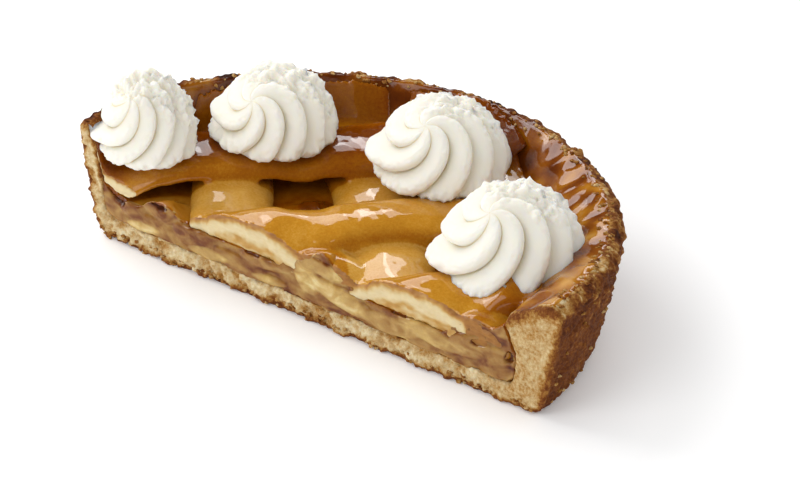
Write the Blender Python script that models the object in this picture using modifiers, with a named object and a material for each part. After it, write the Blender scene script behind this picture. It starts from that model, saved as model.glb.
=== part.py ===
"""Half of a round apple pie with a laid lattice and four piped cream rosettes.

Metres, +Z up. The origin is on the table under the middle of the half, X runs along the cut,
and the cut faces -Y. Plan coordinates u and v run along the upper and the lower lattice strips.
"""

import math

import bmesh
import bpy
from mathutils import Matrix, Vector, noise

MM = 0.001

# Case of dough
RIM_RADIUS = 120 * MM
FOOT_RADIUS = 109.5 * MM
CREST_RADIUS = 113.5 * MM
CREST_Z = 47 * MM
CREST_RISE = 3.5 * MM  # at both ends of the cut
CREST_WAVE = 1.4 * MM
RIM_DROP = 4 * MM  # from the crest to the outer edge of the rim
RIM_CRAGS = 1.7 * MM
WALL_CRUMBS = 0.7 * MM
WALL_WAVE = 0.8 * MM
FLOOR_T = 9 * MM
INNER_RADIUS = 102.8 * MM
INNER_SWING = 4.6 * MM  # the wall is thin at -X and thick at +X
SHOULDER_Z = 26 * MM  # where the rim's upper side starts
BROAD_SHOULDER_Z = 35 * MM  # the same at +X, where the rim is broad
OVERHANG = 6 * MM  # of the broad rim over the filling
WALL_TOP = 22 * MM  # of the upright part of the inner wall
RIM_STEPS = (0, 0.18, 0.45, 0.72, 1)
TURN_STEPS = 74

CUT_Y = -RIM_RADIUS / 2  # the knife passes through the centre of the round pie
GAP = 0.45 * MM  # clearance that touching pieces keep

# Lattice
LATTICE_TURN = math.radians(38.2)  # of the upper strips, from the cut
BED_Z = 20.5 * MM  # level the lower strips lie on
BED_LIFT = 15 * MM  # width of the ring in which the strips climb to the thin rim
BROAD_BED_LIFT = 25 * MM  # and to the broad one
UNDER_T = 8.0 * MM
OVER_T = 7.2 * MM
STRIP_EDGE = 2.0 * MM
STRIP_WAVE = 0.5 * MM
STRIP_SWAY = 1.0 * MM
STRIP_END = 112.2 * MM  # distance from the centre at which a strip ends on the thin rim
BROAD_STRIP_END = 96.5 * MM  # and at the foot of the broad one
STRIP_TAPER = 15 * MM
END_THINNING = 0.62
STEEP_GAPS = 3  # further gaps upwards where the rim is steep
SIDE_CELLS = 5
PAST_CUT = 5 * MM  # how far a strip is made past the cut before the knife takes it off
SPAN_STEPS = 400

# centre line: centre + slope * (along - at), moved over by shift between two places along it; in mm
UNDER_STRIPS = {
    "strip_under_1": dict(centre=-32.6, at=35.0, slope=0.0, shift=(0, 0, 1), half=16.5, cells=15),
    "strip_under_2": dict(centre=24.5, at=55.0, slope=-0.11, shift=(-5.5, 55, 105), half=17.3, cells=20),
    "strip_under_3": dict(centre=66.0, at=60.0, slope=-0.28, shift=(0, 0, 1), half=16.5, cells=21),
}
OVER_STRIPS = {
    "strip_over_1": dict(centre=78.0, at=0.0, slope=0.06, shift=(0, 0, 1), half=17.0, cells=22),
    "strip_over_2": dict(centre=19.5, at=0.0, slope=0.0, shift=(7, -2, 38), half=14.3, cells=20),
    "strip_over_3": dict(centre=-30.0, at=40.0, slope=0.0, shift=(0, 0, 1), half=14.6, cells=13),
}

# Filling: pieces of apple that bulge from the cut, and ones that lie in the openings; lengths in mm
APPLE_AT_CUT = [
    dict(x=-93, z=19, long=9, high=5.5, tip=-30, out=1.6),
    dict(x=-78, z=14, long=13, high=4.5, tip=-6, out=1.3),
    dict(x=-60, z=18, long=12, high=6.0, tip=12, out=1.8),
    dict(x=-38, z=13, long=17, high=4.2, tip=-4, out=1.4),
    dict(x=-24, z=19, long=13, high=3.6, tip=5, out=1.6),
    dict(x=-3, z=20, long=8, high=6.5, tip=-60, out=1.9),
    dict(x=14, z=17, long=17, high=5.0, tip=-12, out=2.2),
    dict(x=38, z=14, long=15, high=4.6, tip=4, out=1.4),
    dict(x=57, z=17, long=16, high=4.4, tip=-8, out=1.7),
    dict(x=76, z=19, long=11, high=5.6, tip=14, out=2.0),
    dict(x=88, z=15, long=9, high=6.5, tip=60, out=1.2),
]
APPLE_IN_OPENINGS = [
    dict(u=-58, v=47, long=12, wide=8, turn=20, high=4.2),
    dict(u=-9, v=41, long=9, wide=7, turn=20, high=4.0),
    dict(u=2, v=52, long=9, wide=7, turn=-20, high=2.4),
    dict(u=3, v=1, long=12, wide=9, turn=30, high=5.0),
    dict(u=89, v=50, long=9, wide=7, turn=80, high=3.2),
    dict(u=62, v=-50, long=9, wide=7, turn=10, high=2.6),
]
FILLING_RINGS = 11
FILLING_WAVE = 0.4 * MM
UNDER_STRIP_DROP = 0.6 * MM  # of the filling, below the lower strips
OPENING_RISE = 0.8 * MM  # of the filling, in the openings of the lattice
CUT_DEPTH = 0.9 * MM  # of the filling, behind the plane of the cut between two pieces of apple

# Cream: centre in plan from the centre of the round pie, in mm; lean and turn in degrees
ROSETTES = {
    "cream_1": dict(x=-96.0, y=15.1, seat=41, across=39.6, high=33, lean=25, lean_to=-82, turn=10),
    "cream_2": dict(x=-62.7, y=54.6, seat=41, across=49.8, high=26.5, lean=40, lean_to=-86, turn=25),
    "cream_3": dict(x=3.5, y=76.5, seat=38.5, across=55.3, high=27.5, lean=30, lean_to=-81, turn=0),
    "cream_4": dict(x=67.2, y=38.3, seat=36, across=59.6, high=31, lean=27, lean_to=-91, turn=15),
}
ARMS = 6
ARM_CELLS = 7
CREAM_RINGS = 15
CREAM_SWEEP = math.radians(200)  # turn of an arm from the tip to the underside
GROOVE_DEPTH = 0.22  # of the radius
CREAM_SAG = 7 * MM  # how far the cream sinks between the strips under it
BED_CELL = 3.8 * MM
BED_REACH = 5 * MM  # how far about the bed looks for something higher
EIGHT_WAYS = [k * math.pi / 4 for k in range(8)]

# Knife
KNIFE_CELL = 4.2 * MM
FINE_CRUMBS = 0.6 * MM
COARSE_CRUMBS = 0.4 * MM


def smooth(low, high, value):
    """0 below low, 1 above high, eased in between."""
    t = min(1.0, max(0.0, (value - low) / (high - low)))
    return t * t * (3 - 2 * t)


def rough(x, y, z, size, seed=0.0):
    """Repeatable noise from about -1 to 1, its bumps about size across."""
    return noise.noise(Vector((x / size + seed, y / size - seed, z / size)))


def round_place(x, y):
    """Distance from the centre of the round pie and the angle from +X."""
    return math.hypot(x, y - CUT_Y), math.atan2(y - CUT_Y, x)


def plan_uv(x, y):
    c, s = math.cos(LATTICE_TURN), math.sin(LATTICE_TURN)
    return x * c + (y - CUT_Y) * s, -x * s + (y - CUT_Y) * c


def plan_xy(u, v):
    c, s = math.cos(LATTICE_TURN), math.sin(LATTICE_TURN)
    return u * c - v * s, u * s + v * c + CUT_Y


# Levels of the case and of the bed that the lattice lies on


def inner_radius(angle):
    return INNER_RADIUS - INNER_SWING * math.cos(angle)


def broad(angle):
    """1 where the rim is broad, at +X, and 0 where it is thin."""
    return smooth(-0.05, 0.75, math.cos(angle))


def shoulder(angle):
    """Radius and height at which the rim's upper side starts."""
    share = broad(angle)
    return inner_radius(angle) - OVERHANG * share, SHOULDER_Z + (BROAD_SHOULDER_Z - SHOULDER_Z) * share


def crest_z(angle):
    c, s = math.cos(angle), math.sin(angle)
    return CREST_Z + CREST_RISE * c * c + CREST_WAVE * rough(c, s, 0, 0.55)


def case_z(radius, angle):
    """Height of the rim's upper side, from the shoulder up to the crest. The broad one is domed."""
    start, low = shoulder(angle)
    share = min(1.0, max(0.0, (radius - start) / (CREST_RADIUS - start)))
    return low + (crest_z(angle) - low) * share ** (1 - 0.42 * broad(angle))


def bed_z(x, y):
    """What the lattice lies on: the flat filling, which climbs to the rim, and the rim itself."""
    radius, angle = round_place(x, y)
    start, low = shoulder(angle)
    if radius > start:
        return case_z(radius, angle)
    lift = BED_LIFT + (BROAD_BED_LIFT - BED_LIFT) * broad(angle)
    share = max(0.0, 1 - (start - radius) / lift)
    return BED_Z + (low - BED_Z) * share**1.8


def strip_centre(strip, along):
    by, begin, end = strip["shift"]
    line = strip["centre"] + strip["slope"] * (along / MM - strip["at"])
    return (line + by * smooth(begin, end, along / MM)) * MM


def strip_half(strip, along):
    wobble = STRIP_SWAY * rough(along, strip["centre"] * MM, 0, 31 * MM, 3.0)
    return strip["half"] * MM + wobble


def strip_reach(angle):
    """Distance from the centre at which the strips end."""
    return STRIP_END - (STRIP_END - BROAD_STRIP_END) * broad(angle)


def bridge(u, v):
    """1 over a lower strip, a little less between two of them, 0 far from all."""
    best = 0.0
    for strip in UNDER_STRIPS.values():
        beside = max(0.0, abs(u - strip_centre(strip, v)) - strip_half(strip, v))
        near = 1 - 0.16 * smooth(0, 9 * MM, beside)
        best = max(best, near * (1 - smooth(10 * MM, 30 * MM, beside)))
    return best


def dome(side):
    return max(0.0, 1 - abs(side) ** 2.6) ** 0.5


def near_end(x, y):
    """0 along most of a strip, rising to 1 at its end on the rim."""
    radius, angle = round_place(x, y)
    reach = strip_reach(angle)
    return smooth(reach - STRIP_TAPER, reach, radius)


def strip_bottom(x, y, over):
    radius, angle = round_place(x, y)
    start, _ = shoulder(angle)
    level = bed_z(x, y) + GAP * (1 + STEEP_GAPS * smooth(start - 3 * MM, start + 2 * MM, radius))
    if over:
        level += bridge(*plan_uv(x, y)) * (UNDER_T * (1 - END_THINNING * near_end(x, y)) + 2.5 * GAP)
    return level


def strip_top(x, y, side, over):
    """Upper surface of a strip at side, which is -1 and 1 at its edges."""
    u, v = plan_uv(x, y)
    end = near_end(x, y)
    thick = (OVER_T if over else UNDER_T) * (1 - END_THINNING * end)
    thick += STRIP_WAVE * rough(u, v, 0, 17 * MM, 7.0 if over else 1.0)
    edge = STRIP_EDGE * (1 - 0.5 * end)
    return strip_bottom(x, y, over) + edge + (thick - edge) * dome(side)


def top_z(x, y):
    """Height of whatever is uppermost here: a strip, the rim or the filling."""
    u, v = plan_uv(x, y)
    radius, angle = round_place(x, y)
    level = max(bed_z(x, y), filling_z(x, y))
    if radius > CREST_RADIUS:
        level += RIM_CRAGS / 2
    for strips, along, offset, over in (
        (UNDER_STRIPS, v, u, False),
        (OVER_STRIPS, u, v, True),
    ):
        for strip in strips.values():
            side = (offset - strip_centre(strip, along)) / strip_half(strip, along)
            if abs(side) < 1.02 and radius < strip_reach(angle) + 0.5 * MM:
                level = max(level, strip_top(x, y, min(1.0, max(-1.0, side)), over))
    return level


def covered(u, v):
    """1 where a strip lies over the filling, falling to 0 just beside it."""
    most = 0.0
    for strips, along, offset in ((UNDER_STRIPS, v, u), (OVER_STRIPS, u, v)):
        for strip in strips.values():
            beside = abs(offset - strip_centre(strip, along)) - strip_half(strip, along)
            most = max(most, 1 - smooth(4 * MM, 10 * MM, beside))
    return most


def lump(dx, dy, long, wide, turn):
    """Rounded bump, 1 in the middle and 0 outside an ellipse turned by an angle in degrees."""
    c, s = math.cos(math.radians(turn)), math.sin(math.radians(turn))
    p, q = (dx * c + dy * s) / long, (-dx * s + dy * c) / wide
    return math.sqrt(max(0.0, 1 - p * p - q * q))


def filling_z(x, y):
    u, v = plan_uv(x, y)
    level = bed_z(x, y) - UNDER_STRIP_DROP + FILLING_WAVE * rough(x, y, 0, 22 * MM, 5.0)
    rise = 0.0
    for piece in APPLE_IN_OPENINGS:
        wedge = lump(u / MM - piece["u"], v / MM - piece["v"], piece["long"], piece["wide"], piece["turn"])
        rise = max(rise, piece["high"] * MM * wedge)
    return level + (rise + OPENING_RISE) * (1 - covered(u, v))


# Blender helpers


def clear_scene():
    for obj in list(bpy.data.objects):
        bpy.data.objects.remove(obj)


def new_collection(name):
    made = bpy.data.collections.new(name)
    bpy.context.scene.collection.children.link(made)
    return made


def material(name, colour, roughness):
    made = bpy.data.materials.new(name)
    made.use_nodes = True
    shader = made.node_tree.nodes["Principled BSDF"]
    shader.inputs["Base Color"].default_value = (*colour, 1)
    shader.inputs["Roughness"].default_value = roughness
    shader.inputs["Metallic"].default_value = 0
    return made


def face_outwards(bm):
    bmesh.ops.recalc_face_normals(bm, faces=bm.faces)
    if bm.calc_volume(signed=True) < 0:
        bmesh.ops.reverse_faces(bm, faces=bm.faces)


def object_from(bm, name, collection, look):
    mesh = bpy.data.meshes.new(name)
    bm.to_mesh(mesh)
    bm.free()
    obj = bpy.data.objects.new(name, mesh)
    collection.objects.link(obj)
    mesh.shade_smooth()
    if look:
        mesh.materials.append(look)
    return obj


def turned(name, profile, collection, look):
    """Round solid from a profile that starts and ends on the axis, made a mesh so that it can be shaped."""
    bm = bmesh.new()
    points = [bm.verts.new((r, 0, z)) for r, z in profile]
    for a, b in zip(points, points[1:]):
        bm.edges.new((a, b))
    line = object_from(bm, name + "_profile", collection, None)
    screw = line.modifiers.new("turn", "SCREW")
    screw.axis = "Z"
    screw.angle = 2 * math.pi
    screw.steps = screw.render_steps = TURN_STEPS
    screw.use_merge_vertices = True
    screw.merge_threshold = 0.01 * MM
    graph = bpy.context.evaluated_depsgraph_get()
    mesh = bpy.data.meshes.new_from_object(line.evaluated_get(graph))
    bpy.data.objects.remove(line)
    bm = bmesh.new()
    bm.from_mesh(mesh)
    bpy.data.meshes.remove(mesh)
    bmesh.ops.remove_doubles(bm, verts=bm.verts, dist=0.01 * MM)
    bmesh.ops.translate(bm, verts=bm.verts, vec=(0, CUT_Y, 0))
    face_outwards(bm)
    return object_from(bm, name, collection, look)


def carve(obj, cutter):
    cut = obj.modifiers.new(cutter.name, "BOOLEAN")
    cut.operation = "DIFFERENCE"
    cut.solver = "EXACT"
    cut.object = cutter


# Case of dough


def wall_outside(z):
    """Outer radius of the case, leaning out from the foot to the rim with a slight belly."""
    share = z / (CREST_Z - RIM_DROP)
    return FOOT_RADIUS + (RIM_RADIUS - FOOT_RADIUS) * share**0.85


def case_profile():
    inner = INNER_RADIUS
    across, up = CREST_RADIUS - inner, CREST_Z - SHOULDER_Z
    slope = [(inner + across * q, SHOULDER_Z + up * q) for q in RIM_STEPS]
    floor = [(0, FLOOR_T), (35 * MM, FLOOR_T), (70 * MM, FLOOR_T), (92 * MM, FLOOR_T)]
    corner = [(inner - 2.5 * MM, FLOOR_T + 1 * MM), (inner - 0.4 * MM, FLOOR_T + 5 * MM)]
    upright = [(inner, WALL_TOP)]
    edge_z = CREST_Z - RIM_DROP + 1 * MM
    rim = [(CREST_RADIUS + 3.4 * MM, CREST_Z - 0.6 * MM), (RIM_RADIUS - 0.8 * MM, edge_z)]
    wall = [(wall_outside(z * MM), z * MM) for z in (42, 36, 30, 24, 18, 12, 6.5)]
    foot = [(FOOT_RADIUS + 0.2 * MM, 2.6 * MM), (FOOT_RADIUS - 2.4 * MM, 0.5 * MM), (FOOT_RADIUS - 5.5 * MM, 0)]
    base = [(80 * MM, 0), (45 * MM, 0), (0, 0)]
    return floor + corner + upright + slope + rim + wall + foot + base


def shape_case(obj):
    """Moves the turned case to its uneven wall, rim and crumbs. The flat base stays as it is."""
    for vert in obj.data.vertices:
        x, y, z = vert.co
        radius, angle = round_place(x, y)
        inside = radius < min(CREST_RADIUS - 0.2 * MM, wall_outside(z) - 2.5 * MM)
        new_radius, new_z = radius, z
        if inside and z > SHOULDER_Z - 1 * MM:
            start, _ = shoulder(angle)
            share = (radius - INNER_RADIUS) / (CREST_RADIUS - INNER_RADIUS)
            new_radius = start + (CREST_RADIUS - start) * share
            new_z = case_z(new_radius, angle)
        elif inside and z > FLOOR_T - 1 * MM and radius > INNER_RADIUS - 4 * MM:
            new_radius = radius + inner_radius(angle) - INNER_RADIUS
        elif not inside and z > 0.1 * MM:
            new_z = z * (1 + (crest_z(angle) / CREST_Z - 1) * smooth(20 * MM, CREST_Z, z))
            new_radius += WALL_CRUMBS * rough(x, y, z, 9 * MM, 2.0)
            new_radius += WALL_WAVE * rough(x, y, z, 38 * MM, 4.0)
            if z > CREST_Z - RIM_DROP - 4 * MM and radius > CREST_RADIUS + 1 * MM:
                new_z += RIM_CRAGS * rough(x, y, z, 7 * MM, 6.0)
        scale = new_radius / radius if radius > 1e-6 else 1
        vert.co = (x * scale, CUT_Y + (y - CUT_Y) * scale, new_z)


def make_case(collection, knife):
    look = material("browned_shortcrust", (0.48, 0.25, 0.09), 0.75)
    case = turned("crust_case", case_profile(), collection, look)
    shape_case(case)
    carve(case, knife)


# Filling


def filling_profile():
    outer = INNER_RADIUS - GAP
    rings = [(outer * (k / FILLING_RINGS), BED_Z) for k in range(FILLING_RINGS + 1)]
    corner = [(outer - 0.4 * MM, FLOOR_T + 5 * MM), (outer - 2.8 * MM, FLOOR_T + 1.6 * MM)]
    side = [(outer, WALL_TOP - 1 * MM), *corner]
    base = [(88 * MM, FLOOR_T + GAP), (45 * MM, FLOOR_T + GAP), (0, FLOOR_T + GAP)]
    return rings + side + base


def shape_filling(obj):
    """Fits the turned filling to the case, its top rings to the shoulder of the rim."""
    outer = INNER_RADIUS - GAP
    for vert in obj.data.vertices:
        x, y, z = vert.co
        radius, angle = round_place(x, y)
        upper = abs(z - BED_Z) < 0.1 * MM
        wall = (shoulder(angle)[0] if upper else inner_radius(angle)) - GAP
        shift = (wall - outer) * smooth(outer - 26 * MM, outer - 3 * MM, radius)
        scale = (radius + shift) / radius if radius > 1e-6 else 1
        x, y = x * scale, CUT_Y + (y - CUT_Y) * scale
        vert.co = (x, y, filling_z(x, y) if upper else z)


def make_filling(collection, knife):
    look = material("baked_apple_filling", (0.62, 0.38, 0.16), 0.35)
    filling = turned("apple_filling", filling_profile(), collection, look)
    shape_filling(filling)
    carve(filling, knife)


# Lattice strips


def strip_place(strip, along, side, over):
    """Plan position of a point along a strip, at side of its centre line."""
    offset = strip_centre(strip, along) + side * strip_half(strip, along)
    return plan_xy(along, offset) if over else plan_xy(offset, along)


def strip_span(strip, side, over):
    """Start and end along the strip for a line at side. It starts past the cut and ends on the rim."""
    inside = []
    for step in range(-SPAN_STEPS, SPAN_STEPS + 1):
        along = STRIP_END * step / SPAN_STEPS
        x, y = strip_place(strip, along, side, over)
        radius, angle = round_place(x, y)
        if y > CUT_Y - PAST_CUT and radius < strip_reach(angle):
            inside.append(along)
    return inside[0], inside[-1]


def make_strip(name, strip, over, collection, knife):
    colour = (0.70, 0.40, 0.13) if over else (0.66, 0.38, 0.13)
    look = material(name + "_glazed_dough", colour, 0.3)
    bm = bmesh.new()
    bmesh.ops.create_grid(bm, x_segments=strip["cells"], y_segments=SIDE_CELLS, size=1)
    solid = bmesh.ops.extrude_face_region(bm, geom=bm.faces[:])
    raised = {v for v in solid["geom"] if isinstance(v, bmesh.types.BMVert)}
    spans = {}
    for vert in bm.verts:
        line = round(vert.co.y, 4)
        side = 1.3 * line - 0.3 * line**3
        if line not in spans:
            spans[line] = strip_span(strip, side, over)
        start, end = spans[line]
        along = start + (end - start) * (vert.co.x + 1) / 2
        x, y = strip_place(strip, along, side, over)
        z = strip_top(x, y, side, over) if vert in raised else strip_bottom(x, y, over)
        vert.co = (x, y, z)
    face_outwards(bm)
    obj = object_from(bm, name, collection, look)
    carve(obj, knife)


# Cream rosettes


def resting_z(x, y, reach):
    """Lowest level at which cream clears everything under it, as far round about as reach."""
    around = [(q * reach * math.cos(a), q * reach * math.sin(a)) for q in (0.5, 1) for a in EIGHT_WAYS]
    return max(top_z(x + dx, y + dy) for dx, dy in [(0, 0), *around]) + GAP


def make_bed(collection):
    """Block whose top follows the lattice and the rim, for the undersides of the cream."""
    wide, deep, middle = RIM_RADIUS + 6 * MM, RIM_RADIUS + 12 * MM, CUT_Y + RIM_RADIUS / 2
    columns, rows = round(2 * wide / BED_CELL), round(deep / BED_CELL)
    bm = bmesh.new()
    bmesh.ops.create_grid(bm, x_segments=columns, y_segments=rows, size=1)
    block = bmesh.ops.extrude_face_region(bm, geom=bm.faces[:])
    upper = {v for v in block["geom"] if isinstance(v, bmesh.types.BMVert)}
    for vert in bm.verts:
        x, y = vert.co.x * wide, middle + vert.co.y * deep / 2
        vert.co = (x, y, resting_z(x, y, BED_REACH) if vert in upper else 0)
    face_outwards(bm)
    bed = object_from(bm, "bed_under_cream", collection, None)
    bed.hide_render = True
    bed.display_type = "WIRE"
    return bed


def cream_point(tilt, turn, rosette):
    """Point of a rosette from the middle of its seat, tilt from its leaning tip and turn about it."""
    lean_to = math.radians(rosette["lean_to"])
    hinge = Vector((-math.sin(lean_to), math.cos(lean_to), 0))
    lean = Matrix.Rotation(math.radians(rosette["lean"]), 3, hinge)
    half, high = rosette["across"] / 2 * MM, rosette["high"] * MM
    share = tilt / (math.pi / 2)
    angle = turn + math.radians(rosette["turn"]) - CREAM_SWEEP * min(1.2, share)
    way = lean @ Vector((math.sin(tilt) * math.cos(angle), math.sin(tilt) * math.sin(angle), math.cos(tilt)))
    tall = high if way.z > 0 else CREAM_SAG
    reach = 1 / math.sqrt((way.x**2 + way.y**2) / half**2 + way.z**2 / tall**2)
    valley = abs(math.sin(ARMS * turn / 2)) ** 0.85
    return way * reach * (1 - GROOVE_DEPTH * smooth(0.02, 0.55, share) * valley)


def make_rosette(name, rosette, collection, bed):
    """Dome whose arms wind from a leaning tip down to the underside, which fits the lattice."""
    look = material(name + "_whipped_cream", (0.90, 0.88, 0.80), 0.5)
    seat = Vector((rosette["x"] * MM, rosette["y"] * MM + CUT_Y, rosette["seat"] * MM))
    bm = bmesh.new()
    bmesh.ops.create_uvsphere(bm, u_segments=ARMS * ARM_CELLS, v_segments=CREAM_RINGS, radius=1)
    for vert in bm.verts:
        ring = math.acos(max(-1.0, min(1.0, vert.co.z))) / math.pi
        tilt = math.pi * (0.75 * ring if ring < 0.75 else 0.5625 + 1.75 * (ring - 0.75))
        vert.co = seat + cream_point(tilt, math.atan2(vert.co.y, vert.co.x), rosette)
    face_outwards(bm)
    obj = object_from(bm, name, collection, look)
    carve(obj, bed)


# Knife


def knife_relief(x, z):
    """How far the cut stands out from its plane: crumbs in the dough, rounded apple in the filling."""
    crumbs = FINE_CRUMBS * rough(x, z, 0, 4.5 * MM, 9.0) + COARSE_CRUMBS * rough(x, z, 0, 12 * MM, 8.0)
    radius = abs(x)
    in_case = z < FLOOR_T + 0.5 * MM or radius > INNER_RADIUS + INNER_SWING * (1 if x < 0 else -1)
    if in_case or z > BED_Z + 2 * MM:
        return crumbs * (0.45 if z > BED_Z + 2 * MM and not in_case else 1)
    out = 0.0
    for piece in APPLE_AT_CUT:
        bulge = lump(x / MM - piece["x"], z / MM - piece["z"], piece["long"], piece["high"], piece["tip"])
        out = max(out, piece["out"] * MM * bulge)
    return 0.4 * crumbs + out - CUT_DEPTH


def make_knife(collection):
    """Block in front of the cut, whose back has the relief that it leaves on the pie."""
    wide, low, high, deep = RIM_RADIUS + 8 * MM, -6 * MM, 66 * MM, RIM_RADIUS + 8 * MM
    bm = bmesh.new()
    columns, rows = round(2 * wide / KNIFE_CELL), round((high - low) / KNIFE_CELL)
    bmesh.ops.create_grid(bm, x_segments=columns, y_segments=rows, size=1)
    block = bmesh.ops.extrude_face_region(bm, geom=bm.faces[:])
    front = {v for v in block["geom"] if isinstance(v, bmesh.types.BMVert)}
    for vert in bm.verts:
        x, z = vert.co.x * wide, low + (high - low) * (vert.co.y + 1) / 2
        inner = abs(vert.co.x) < 0.999 and abs(vert.co.y) < 0.999
        y = CUT_Y - deep if vert in front else CUT_Y - (knife_relief(x, z) if inner else 0)
        vert.co = (x, y, z)
    face_outwards(bm)
    knife = object_from(bm, "knife", collection, None)
    knife.hide_render = True
    knife.display_type = "WIRE"
    return knife


def main():
    clear_scene()
    pie = new_collection("half_apple_pie")
    cutters = new_collection("cutters")
    knife = make_knife(cutters)
    bed = make_bed(cutters)
    make_case(pie, knife)
    make_filling(pie, knife)
    for name, strip in UNDER_STRIPS.items():
        make_strip(name, strip, False, pie, knife)
    for name, strip in OVER_STRIPS.items():
        make_strip(name, strip, True, pie, knife)
    for name, rosette in ROSETTES.items():
        make_rosette(name, rosette, pie, bed)


main()
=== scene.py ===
import math
import random

import bmesh
import bpy
from mathutils import Matrix, Vector, noise
from mathutils.bvhtree import BVHTree


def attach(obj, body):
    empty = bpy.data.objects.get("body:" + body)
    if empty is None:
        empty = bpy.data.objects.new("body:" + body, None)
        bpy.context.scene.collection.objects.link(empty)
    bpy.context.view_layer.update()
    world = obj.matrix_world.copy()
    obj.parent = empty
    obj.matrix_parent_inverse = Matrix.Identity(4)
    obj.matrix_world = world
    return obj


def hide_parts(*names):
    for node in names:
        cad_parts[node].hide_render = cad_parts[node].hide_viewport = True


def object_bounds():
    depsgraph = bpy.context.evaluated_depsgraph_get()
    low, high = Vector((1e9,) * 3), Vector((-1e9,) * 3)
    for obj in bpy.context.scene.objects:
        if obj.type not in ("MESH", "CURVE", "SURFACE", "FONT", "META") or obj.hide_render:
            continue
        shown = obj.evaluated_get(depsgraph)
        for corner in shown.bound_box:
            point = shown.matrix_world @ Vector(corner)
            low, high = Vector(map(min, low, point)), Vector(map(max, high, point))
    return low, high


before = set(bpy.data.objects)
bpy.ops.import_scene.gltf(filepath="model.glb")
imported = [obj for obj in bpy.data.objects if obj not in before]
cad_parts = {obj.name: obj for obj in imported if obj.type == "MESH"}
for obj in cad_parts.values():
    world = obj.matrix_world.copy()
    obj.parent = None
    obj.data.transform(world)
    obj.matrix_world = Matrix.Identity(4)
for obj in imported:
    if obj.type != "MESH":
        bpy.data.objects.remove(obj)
cadLow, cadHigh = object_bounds()
print("frame loaded")

mm = 0.001


# small tools for shapes


def smooth(low, high, value):
    t = min(1.0, max(0.0, (value - low) / (high - low)))
    return t * t * (3 - 2 * t)


def mix(a, b, share):
    return a + (b - a) * share


def rough(x, y, z, size, seed=0.0):  # repeatable noise from about -1 to 1, bumps about size across
    return noise.noise(Vector((x / size + seed, y / size - seed, z / size)))


def pebbles(x, y, z, size, seed=0.0):  # rounded crumbs, 1 in the middle of each and about 0 between them
    near = noise.voronoi(Vector((x / size + seed, y / size, z / size - seed)))[0]
    return 1 - min(1.0, 1.35 * near[0])


def ridged(x, y, z, size, seed=0.0):  # sharp crests at 1 between rounded hollows
    return 1 - 2.4 * abs(rough(x, y, z, size, seed))


def newPiece(bm, name, skins):
    mesh = bpy.data.meshes.new(name)
    bm.to_mesh(mesh)
    bm.free()
    piece = bpy.data.objects.new(name, mesh)
    bpy.context.scene.collection.objects.link(piece)
    mesh.shade_smooth()
    for skin in skins:
        mesh.materials.append(skin)
    return piece


def addTo(bm, one):  # puts one closed form with the others
    mesh = bpy.data.meshes.new("one_form")
    one.to_mesh(mesh)
    one.free()
    bm.from_mesh(mesh)
    bpy.data.meshes.remove(mesh)


def faceOut(bm):
    bmesh.ops.recalc_face_normals(bm, faces=bm.faces)
    if bm.calc_volume(signed=True) < 0:
        bmesh.ops.reverse_faces(bm, faces=bm.faces)


def cutThrough(bm, level):  # takes off what lies in front of the knife's plane and closes the cut
    parts = bm.verts[:] + bm.edges[:] + bm.faces[:]
    plane = {"plane_co": (0, level, 0), "plane_no": (0, -1, 0)}
    done = bmesh.ops.bisect_plane(bm, geom=parts, clear_outer=True, **plane)
    rims = [e for e in done["geom_cut"] if isinstance(e, bmesh.types.BMEdge)]
    caps = bmesh.ops.edgeloop_fill(bm, edges=rims)["faces"]
    bmesh.ops.triangulate(bm, faces=caps, ngon_method="EAR_CLIP")
    faceOut(bm)


def evenMesh(bm, voxel, rounds):  # one closed even skin over whatever overlaps, softened
    piece = newPiece(bm, "rough_form", [])
    cells = piece.modifiers.new("cells", "REMESH")
    cells.mode = "VOXEL"
    cells.voxel_size = voxel
    graph = bpy.context.evaluated_depsgraph_get()
    mesh = bpy.data.meshes.new_from_object(piece.evaluated_get(graph))
    bpy.data.objects.remove(piece)
    bm = bmesh.new()
    bm.from_mesh(mesh)
    bpy.data.meshes.remove(mesh)
    everyWay = {"use_axis_x": True, "use_axis_y": True, "use_axis_z": True}
    for _ in range(rounds):
        bmesh.ops.smooth_vert(bm, verts=bm.verts, factor=0.5, **everyWay)
    return bm


# the round pie, which the knife halved; +X is its broad-rimmed end


pie = {
    "rimRadius": 120 * mm,
    "footRadius": 109.5 * mm,
    "crestRadius": 113.5 * mm,
    "crestZ": 47 * mm,
    "crestRise": 3.5 * mm,
    "crestWave": 1.4 * mm,
    "waveLength": 0.55,  # of the crest, as a share of its radius
    "broadFrom": (-0.05, 0.75),  # cosines between which the narrow rim turns into the broad one
    "broadArch": 0.42,
    "rimDrop": 4 * mm,
    "floorZ": 9 * mm,
    "innerRadius": 102.8 * mm,
    "innerSwing": 4.6 * mm,
    "shoulderZ": 26 * mm,
    "broadShoulderZ": 35 * mm,
    "overhang": 6 * mm,
    "wallTop": 22 * mm,
    "cutY": -60 * mm,
}

knife = {  # what counts as cut: faces turned to the front, and points near the plane, fading out behind it
    "inCrumb": dict(facing=-0.8, within=0.8 * mm, far=1.4 * mm, near=0.5 * mm, turned=0.1),
    "inStrips": dict(facing=-0.75, within=1.2 * mm, far=1.8 * mm, near=0.8 * mm, turned=0.2),
    "fullyTurned": 0.6,
}


def finerCut(bm, cut):  # splits the faces of the cut once, where the relief is small
    level = pie["cutY"] + cut["within"]
    front = [f for f in bm.faces if f.normal.y < cut["facing"] and f.calc_center_median().y < level]
    bmesh.ops.subdivide_edges(bm, edges=list({e for f in front for e in f.edges}), cuts=1, use_grid_fill=True)
    bmesh.ops.triangulate(bm, faces=[f for f in bm.faces if len(f.verts) > 4])
    bm.normal_update()


def onCut(vert, cut):  # 1 on the cut and 0 away from it
    near = smooth(cut["far"], cut["near"], vert.co.y - pie["cutY"])
    return near * smooth(cut["turned"], knife["fullyTurned"], -vert.normal.y)


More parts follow.
